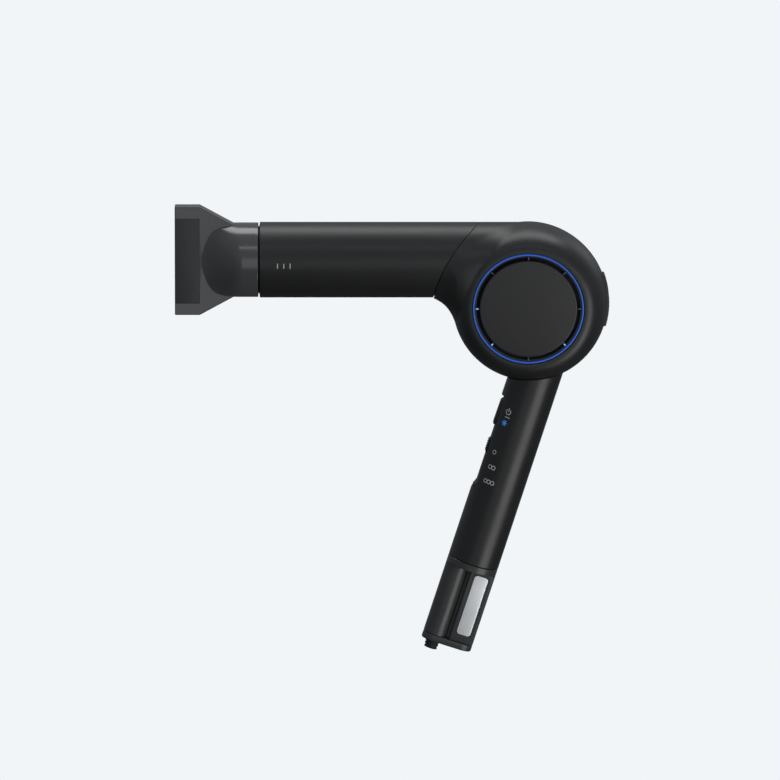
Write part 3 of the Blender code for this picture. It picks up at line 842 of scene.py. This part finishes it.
def controls(looks):
    """The wedge-shaped power button, and the ridged slider with its neck."""
    top, low = -BUTTON_SPAN[0], -BUTTON_SPAN[1]
    back = FLOOR + 1.7
    wedge = [(back, top), (FLOOR - 0.3, top), (BUTTON_FACE + 0.2, top - 1.6)]
    wedge += [(BUTTON_FACE, low), (back, low)]
    button = eased(slab(wedge, BUTTON_HALF), 0.35, 4, 20)
    piece("power_key", button, looks["button"], GRIP, "power_button", ["power_button"])
    half = SLIDER_LENGTH / 2
    mid = -SLIDER_CENTRE
    face = FLOOR - GAP
    outline = [(face, mid - half), (face, mid + half), (face - 0.35, mid + half - 0.2)]
    ridges, pitch = 5, 1.5
    for k in range(ridges):
        z = mid + pitch * (ridges / 2 - k) - pitch / 2
        outline += [(face - 0.55, z + 0.55), (face - 0.9, z + 0.2)]
        outline += [(face - 0.9, z - 0.2), (face - 0.55, z - 0.55)]
    outline.append((face - 0.35, mid - half + 0.2))
    knob = eased(slab(outline, SLIDER_HALF), 0.12, 2, 20)
    neck = box((face - 0.2, -1.2, mid - 2.0), (-10.4, 1.2, mid + 2.0))
    slider = joined(knob, neck)
    piece("speed_knob", slider, looks["button"], GRIP, "speed_slider", ["speed_slider"])


def inlay_outline(x0, x1, spread, side, low, high):
    ring = round_rectangle(x0, x1, -HANDLE_END + 9 - spread, -INLAY_TOP + spread, 1.9, 8)
    heights = sorted((side * (PLATE_HALF + low), side * (PLATE_HALF + high)))
    return loft([[(x, y, z) for x, z in ring] for y in heights])


def tail(looks):
    """The round bar in front, the flat plate behind it and the inlay on each side of the plate."""
    top, end = -BAND[1] - GAP, -HANDLE_END + 4 + GAP
    bar = tube(4.9, BAR_R, end, top, centre=(BAR_X, 0, 0))
    piece("tail_round_bar", bar, looks["band"], GRIP, "dryer", ["tail_bar"])
    turn = math.degrees(math.asin(PLATE_HALF / HANDLE_R))
    corner = 0.8
    ring = [*arc(0, 0, HANDLE_R, -turn + 2, turn - 2, 12)]
    ring += [*arc(PLATE_X + corner, PLATE_HALF - corner, corner, 90, 180, 6)]
    ring += [*arc(PLATE_X + corner, -PLATE_HALF + corner, corner, 180, 270, 6)]
    plate = eased(loft([[(x, y, z) for x, y in ring] for z in (end, top)]), 0.3, 3, 60)
    web = box((-2.0, -WEB_HALF, end + 0.3), (2.0, WEB_HALF, top - 0.3))
    bed = rod(BAR_R + GAP, end - 1, top + 1, centre=(BAR_X, 0, 0))
    plate = cut(joined(plate, web), bed)
    seats = [inlay_outline(*INLAY_SEAT, 0.45, side, -0.7, 1.0) for side in (-1, 1)]
    hole = rod(1.5, end - 1, end + 8, "Z", (END_SCREW_X, 0, 0), 32)
    plate = cut(plate, hole, *seats)
    piece("tail_flat_plate", plate, looks["band"], GRIP, "dryer", ["tail_plate"])
    for side, name in ((-1, "left"), (1, "right")):
        strip = eased(inlay_outline(*INLAY, 0.0, side, -0.69, 0.2), 0.3, 3)
        node = f"tail_inlay_{name}"
        piece(f"{node}_strip", strip, looks["silver"], GRIP, "dryer", [node])


def handle_end(looks):
    """The stadium-shaped end cap with its screw hole, and the ringed cord gland."""
    low, top = -HANDLE_END, -HANDLE_END + 4
    reach = HANDLE_R - BAR_R
    outline = arc(reach, 0, BAR_R, -90, 90, 32) + arc(-reach, 0, BAR_R, 90, 270, 32)
    cap = eased(loft([[(x, y, z) for x, y in outline] for z in (low, top)]), 0.6, 4)
    screw_way = rod(1.5, low - 1, top + 1, "Z", (END_SCREW_X, 0, 0), 32)
    screw_seat = rod(2.2, low - 1, low + 0.35, "Z", (END_SCREW_X, 0, 0), 32)
    gland_way = rod(4.8, low - 1, top + 1, "Z", (BAR_X, 0, 0), 64)
    cap = cut(cap, screw_way, screw_seat, gland_way)
    piece("end_cap_moulding", cap, looks["band"], GRIP, "dryer", ["end_cap"])
    profile = [(3.0, low - 5), (3.8, low - 5), (3.9, low - 4.2), (3.5, low - 4.0), (3.5, low - 3.4)]
    profile += [(4.0, low - 3.2), (4.1, low - 2.3), (3.7, low - 2.1), (3.7, low - 1.5)]
    profile += [(4.2, low - 1.3), (4.4, low), (4.4, top + 3), (3.0, top + 3)]
    gland = turned(profile, 64, centre=(BAR_X, 0, 0))
    piece("cord_gland_sleeve", gland, looks["rubber"], GRIP, "dryer", ["cord_gland"])


# ---- printed symbols on the handle's left side ----


def ribbon(points, width, closed=False):
    """A flat line of some width through points of (way forward, way up), both in millimetres."""
    count = len(points)
    sides = []
    for k, point in enumerate(points):
        before = points[k - 1] if closed or k else point
        after = points[(k + 1) % count] if closed or k < count - 1 else point
        along = (Vector(after) - Vector(before)).normalized()
        normal = Vector((-along.y, along.x)) * width / 2
        sides.append((Vector(point) - normal, Vector(point) + normal))
    last = count if closed else count - 1
    return sides, [(k, (k + 1) % count) for k in range(last)]


def stroke(start, end, steps=8):
    """A straight line in short steps, which follow the curve that it is wrapped on."""
    return [tuple(Vector(start).lerp(Vector(end), k / steps)) for k in range(steps + 1)]


def printed(name, lines, forward, down, look):
    """Flat lines wrapped round the handle about a point forward of its left side."""
    points, faces = [], []
    r = HANDLE_R + 0.03
    for line, width, closed in lines:
        sides, links = ribbon(line, width, closed)
        base = len(points)
        for pair in sides:
            for u, v in pair:
                angle = math.radians(forward) + u / r
                points.append((-r * math.sin(angle), -r * math.cos(angle), -down + v))
        faces += [(base + 2 * a, base + 2 * a + 1, base + 2 * b + 1, base + 2 * b) for a, b in links]
    mesh = mesh_from(points, faces)
    piece(name, mesh, look, GRIP, "dryer", ideal=about_handle)


def ring_line(u, radius=1.12, width=0.42):
    return arc(u, 0, radius, 0, 360, 28)[:-1], width, True


def symbols(looks):
    """Power, a bar and a snowflake beside the button; one, two and three rings beside the slider."""
    ink = looks["print"]
    power = [(arc(0, 0, 1.6, 125, 415, 28), 0.5, False), (stroke((0, 0.2), (0, 2.4)), 0.5, False)]
    printed("symbol_power", power, 35.7, 23.6, ink)
    printed("symbol_bar", [(stroke((-1.7, 0), (1.7, 0)), 0.5, False)], 34.6, 27.0, ink)
    flake = []
    for k in range(3):
        c, s = math.cos(math.pi * k / 3), math.sin(math.pi * k / 3)
        flake.append((stroke((-1.8 * c, -1.8 * s), (1.8 * c, 1.8 * s)), 0.32, False))
        for end in (-1, 1):
            for bend in (-40, 40):
                tip = math.radians(60 * k + bend + (180 if end < 0 else 0))
                foot = (end * 1.0 * c, end * 1.0 * s)
                twig = [foot, (foot[0] + 0.6 * math.cos(tip), foot[1] + 0.6 * math.sin(tip))]
                flake.append((twig, 0.3, False))
    printed("symbol_cool", flake, 37.0, 30.7, looks["cool_print"])
    pitch = 2.35
    for count, forward, down in ((1, 37.6, 49.2), (2, 32.0, 58.2), (3, 27.8, 67.0)):
        rings = [ring_line(pitch * (k - (count - 1) / 2)) for k in range(count)]
        printed(f"symbol_speed_{count}", rings, forward, down, ink)


# ---- CAD nodes that stay ----


def dress_cad_nodes(looks):
    """Each CAD node that still shows gets the look of its record slot."""
    slots = {part["node"]: part["material_slot"] for part in frame["record"]["subparts"]}
    for name, node in frame["nodes"].items():
        if not node.hide_render:
            node.data.materials.clear()
            node.data.materials.append(looks[slots[name]])


# ---- stage, light and camera ----

PALE = (0.880, 0.913, 0.939, 1.0)


def stage():
    """A pale floor that fills the view, lit evenly, and a dim room that only the object sees."""
    low = cad_box[0].z - 0.001
    size = 8.0
    corners = [(-size, -size, low), (size, -size, low), (size, size, low), (-size, size, low)]
    mesh = mesh_from(corners, [(0, 1, 2, 3)])
    floor = bpy.data.objects.new("floor", mesh)
    bpy.context.scene.collection.objects.link(floor)
    floor.visible_diffuse = False
    floor.visible_glossy = False
    floor.visible_shadow = False
    made, nodes, links = new_material("pale_floor")
    shader = nodes["Principled BSDF"]
    shader.inputs["Base Color"].default_value = (0, 0, 0, 1)
    shader.inputs["Specular IOR Level"].default_value = 0.0
    shader.inputs["Emission Color"].default_value = PALE
    shader.inputs["Emission Strength"].default_value = 1.0
    mesh.materials.append(made)

    world = bpy.data.worlds.new("studio")
    bpy.context.scene.world = world
    world.use_nodes = True
    nodes, links = world.node_tree.nodes, world.node_tree.links
    pale, dim = nodes["Background"], nodes.new("ShaderNodeBackground")
    pale.inputs["Color"].default_value = PALE
    dim.inputs["Color"].default_value = (0.9, 0.95, 1.0, 1.0)
    where = nodes.new("ShaderNodeTexCoord")
    parts = nodes.new("ShaderNodeSeparateXYZ")
    fade = nodes.new("ShaderNodeMapRange")
    fade.inputs["From Min"].default_value = -0.5
    fade.inputs["From Max"].default_value = 0.3
    fade.inputs["To Min"].default_value = 0.05
    fade.inputs["To Max"].default_value = 0.28
    links.new(where.outputs["Generated"], parts.inputs["Vector"])
    links.new(parts.outputs["Z"], fade.inputs["Value"])
    links.new(fade.outputs["Result"], dim.inputs["Strength"])
    path = nodes.new("ShaderNodeLightPath")
    mix = nodes.new("ShaderNodeMixShader")
    links.new(path.outputs["Is Camera Ray"], mix.inputs["Fac"])
    links.new(dim.outputs["Background"], mix.inputs[1])
    links.new(pale.outputs["Background"], mix.inputs[2])
    links.new(mix.outputs["Shader"], nodes["World Output"].inputs["Surface"])


def softbox(name, aim, azimuth, elevation, distance, size, power, colour=(1.0, 1.0, 1.0)):
    """A rectangular light, seen from its aim at an azimuth from -Y towards +X and an elevation."""
    a, e = math.radians(azimuth), math.radians(elevation)
    back = Vector((math.sin(a) * math.cos(e), -math.cos(a) * math.cos(e), math.sin(e)))
    data = bpy.data.lights.new(name, "AREA")
    data.shape = "RECTANGLE"
    data.size, data.size_y = size
    data.energy = power
    data.color = colour
    made = bpy.data.objects.new(name, data)
    made.location = aim + back * distance
    made.rotation_euler = back.to_track_quat("Z", "Y").to_euler()
    made.visible_camera = False
    bpy.context.scene.collection.objects.link(made)


def lights():
    middle = FAN + Vector((-80, 0, -20)) * MM
    softbox("overhead", middle, 180, 70, 1.3, (1.6, 0.6), 9.0)
    softbox("front_high", middle, 0, 48, 1.3, (1.4, 0.12), 0.9)
    softbox("right_strip", FAN + Vector((10, 0, -60)) * MM, 40, -20, 0.65, (0.40, 0.7), 2.2)
    softbox("front_panel", middle, 8, 0, 1.5, (1.2, 0.8), 1.6)
    softbox("rear_rim", FAN, 140, 25, 0.9, (0.3, 0.5), 0.3)


def camera():
    """Square to the dryer's left side and a little above it, from far away."""
    aim = FAN + Vector((-81.46, -9.5, -51.37)) * MM
    tilt = math.radians(10.6)
    look = Vector((0.0, math.cos(tilt), -math.sin(tilt)))
    data = bpy.data.cameras.new("camera")
    data.lens, data.sensor_width = 600.0, 36.0
    width = 0.4602
    made = bpy.data.objects.new("camera", data)
    made.location = aim - look * width * data.lens / data.sensor_width
    made.rotation_euler = look.to_track_quat("-Z", "Y").to_euler()
    bpy.context.scene.collection.objects.link(made)
    bpy.context.scene.camera = made
    bpy.context.scene.view_settings.view_transform = "Standard"


def main():
    looks = make_looks()
    head_shells(looks)
    mode_button(looks)
    intake(looks)
    barrel(looks)
    barrel_mark(looks)
    nozzle(looks)
    handle(looks)
    panel(looks)
    controls(looks)
    tail(looks)
    handle_end(looks)
    symbols(looks)
    dress_cad_nodes(looks)
    stage()
    lights()
    camera()


main()
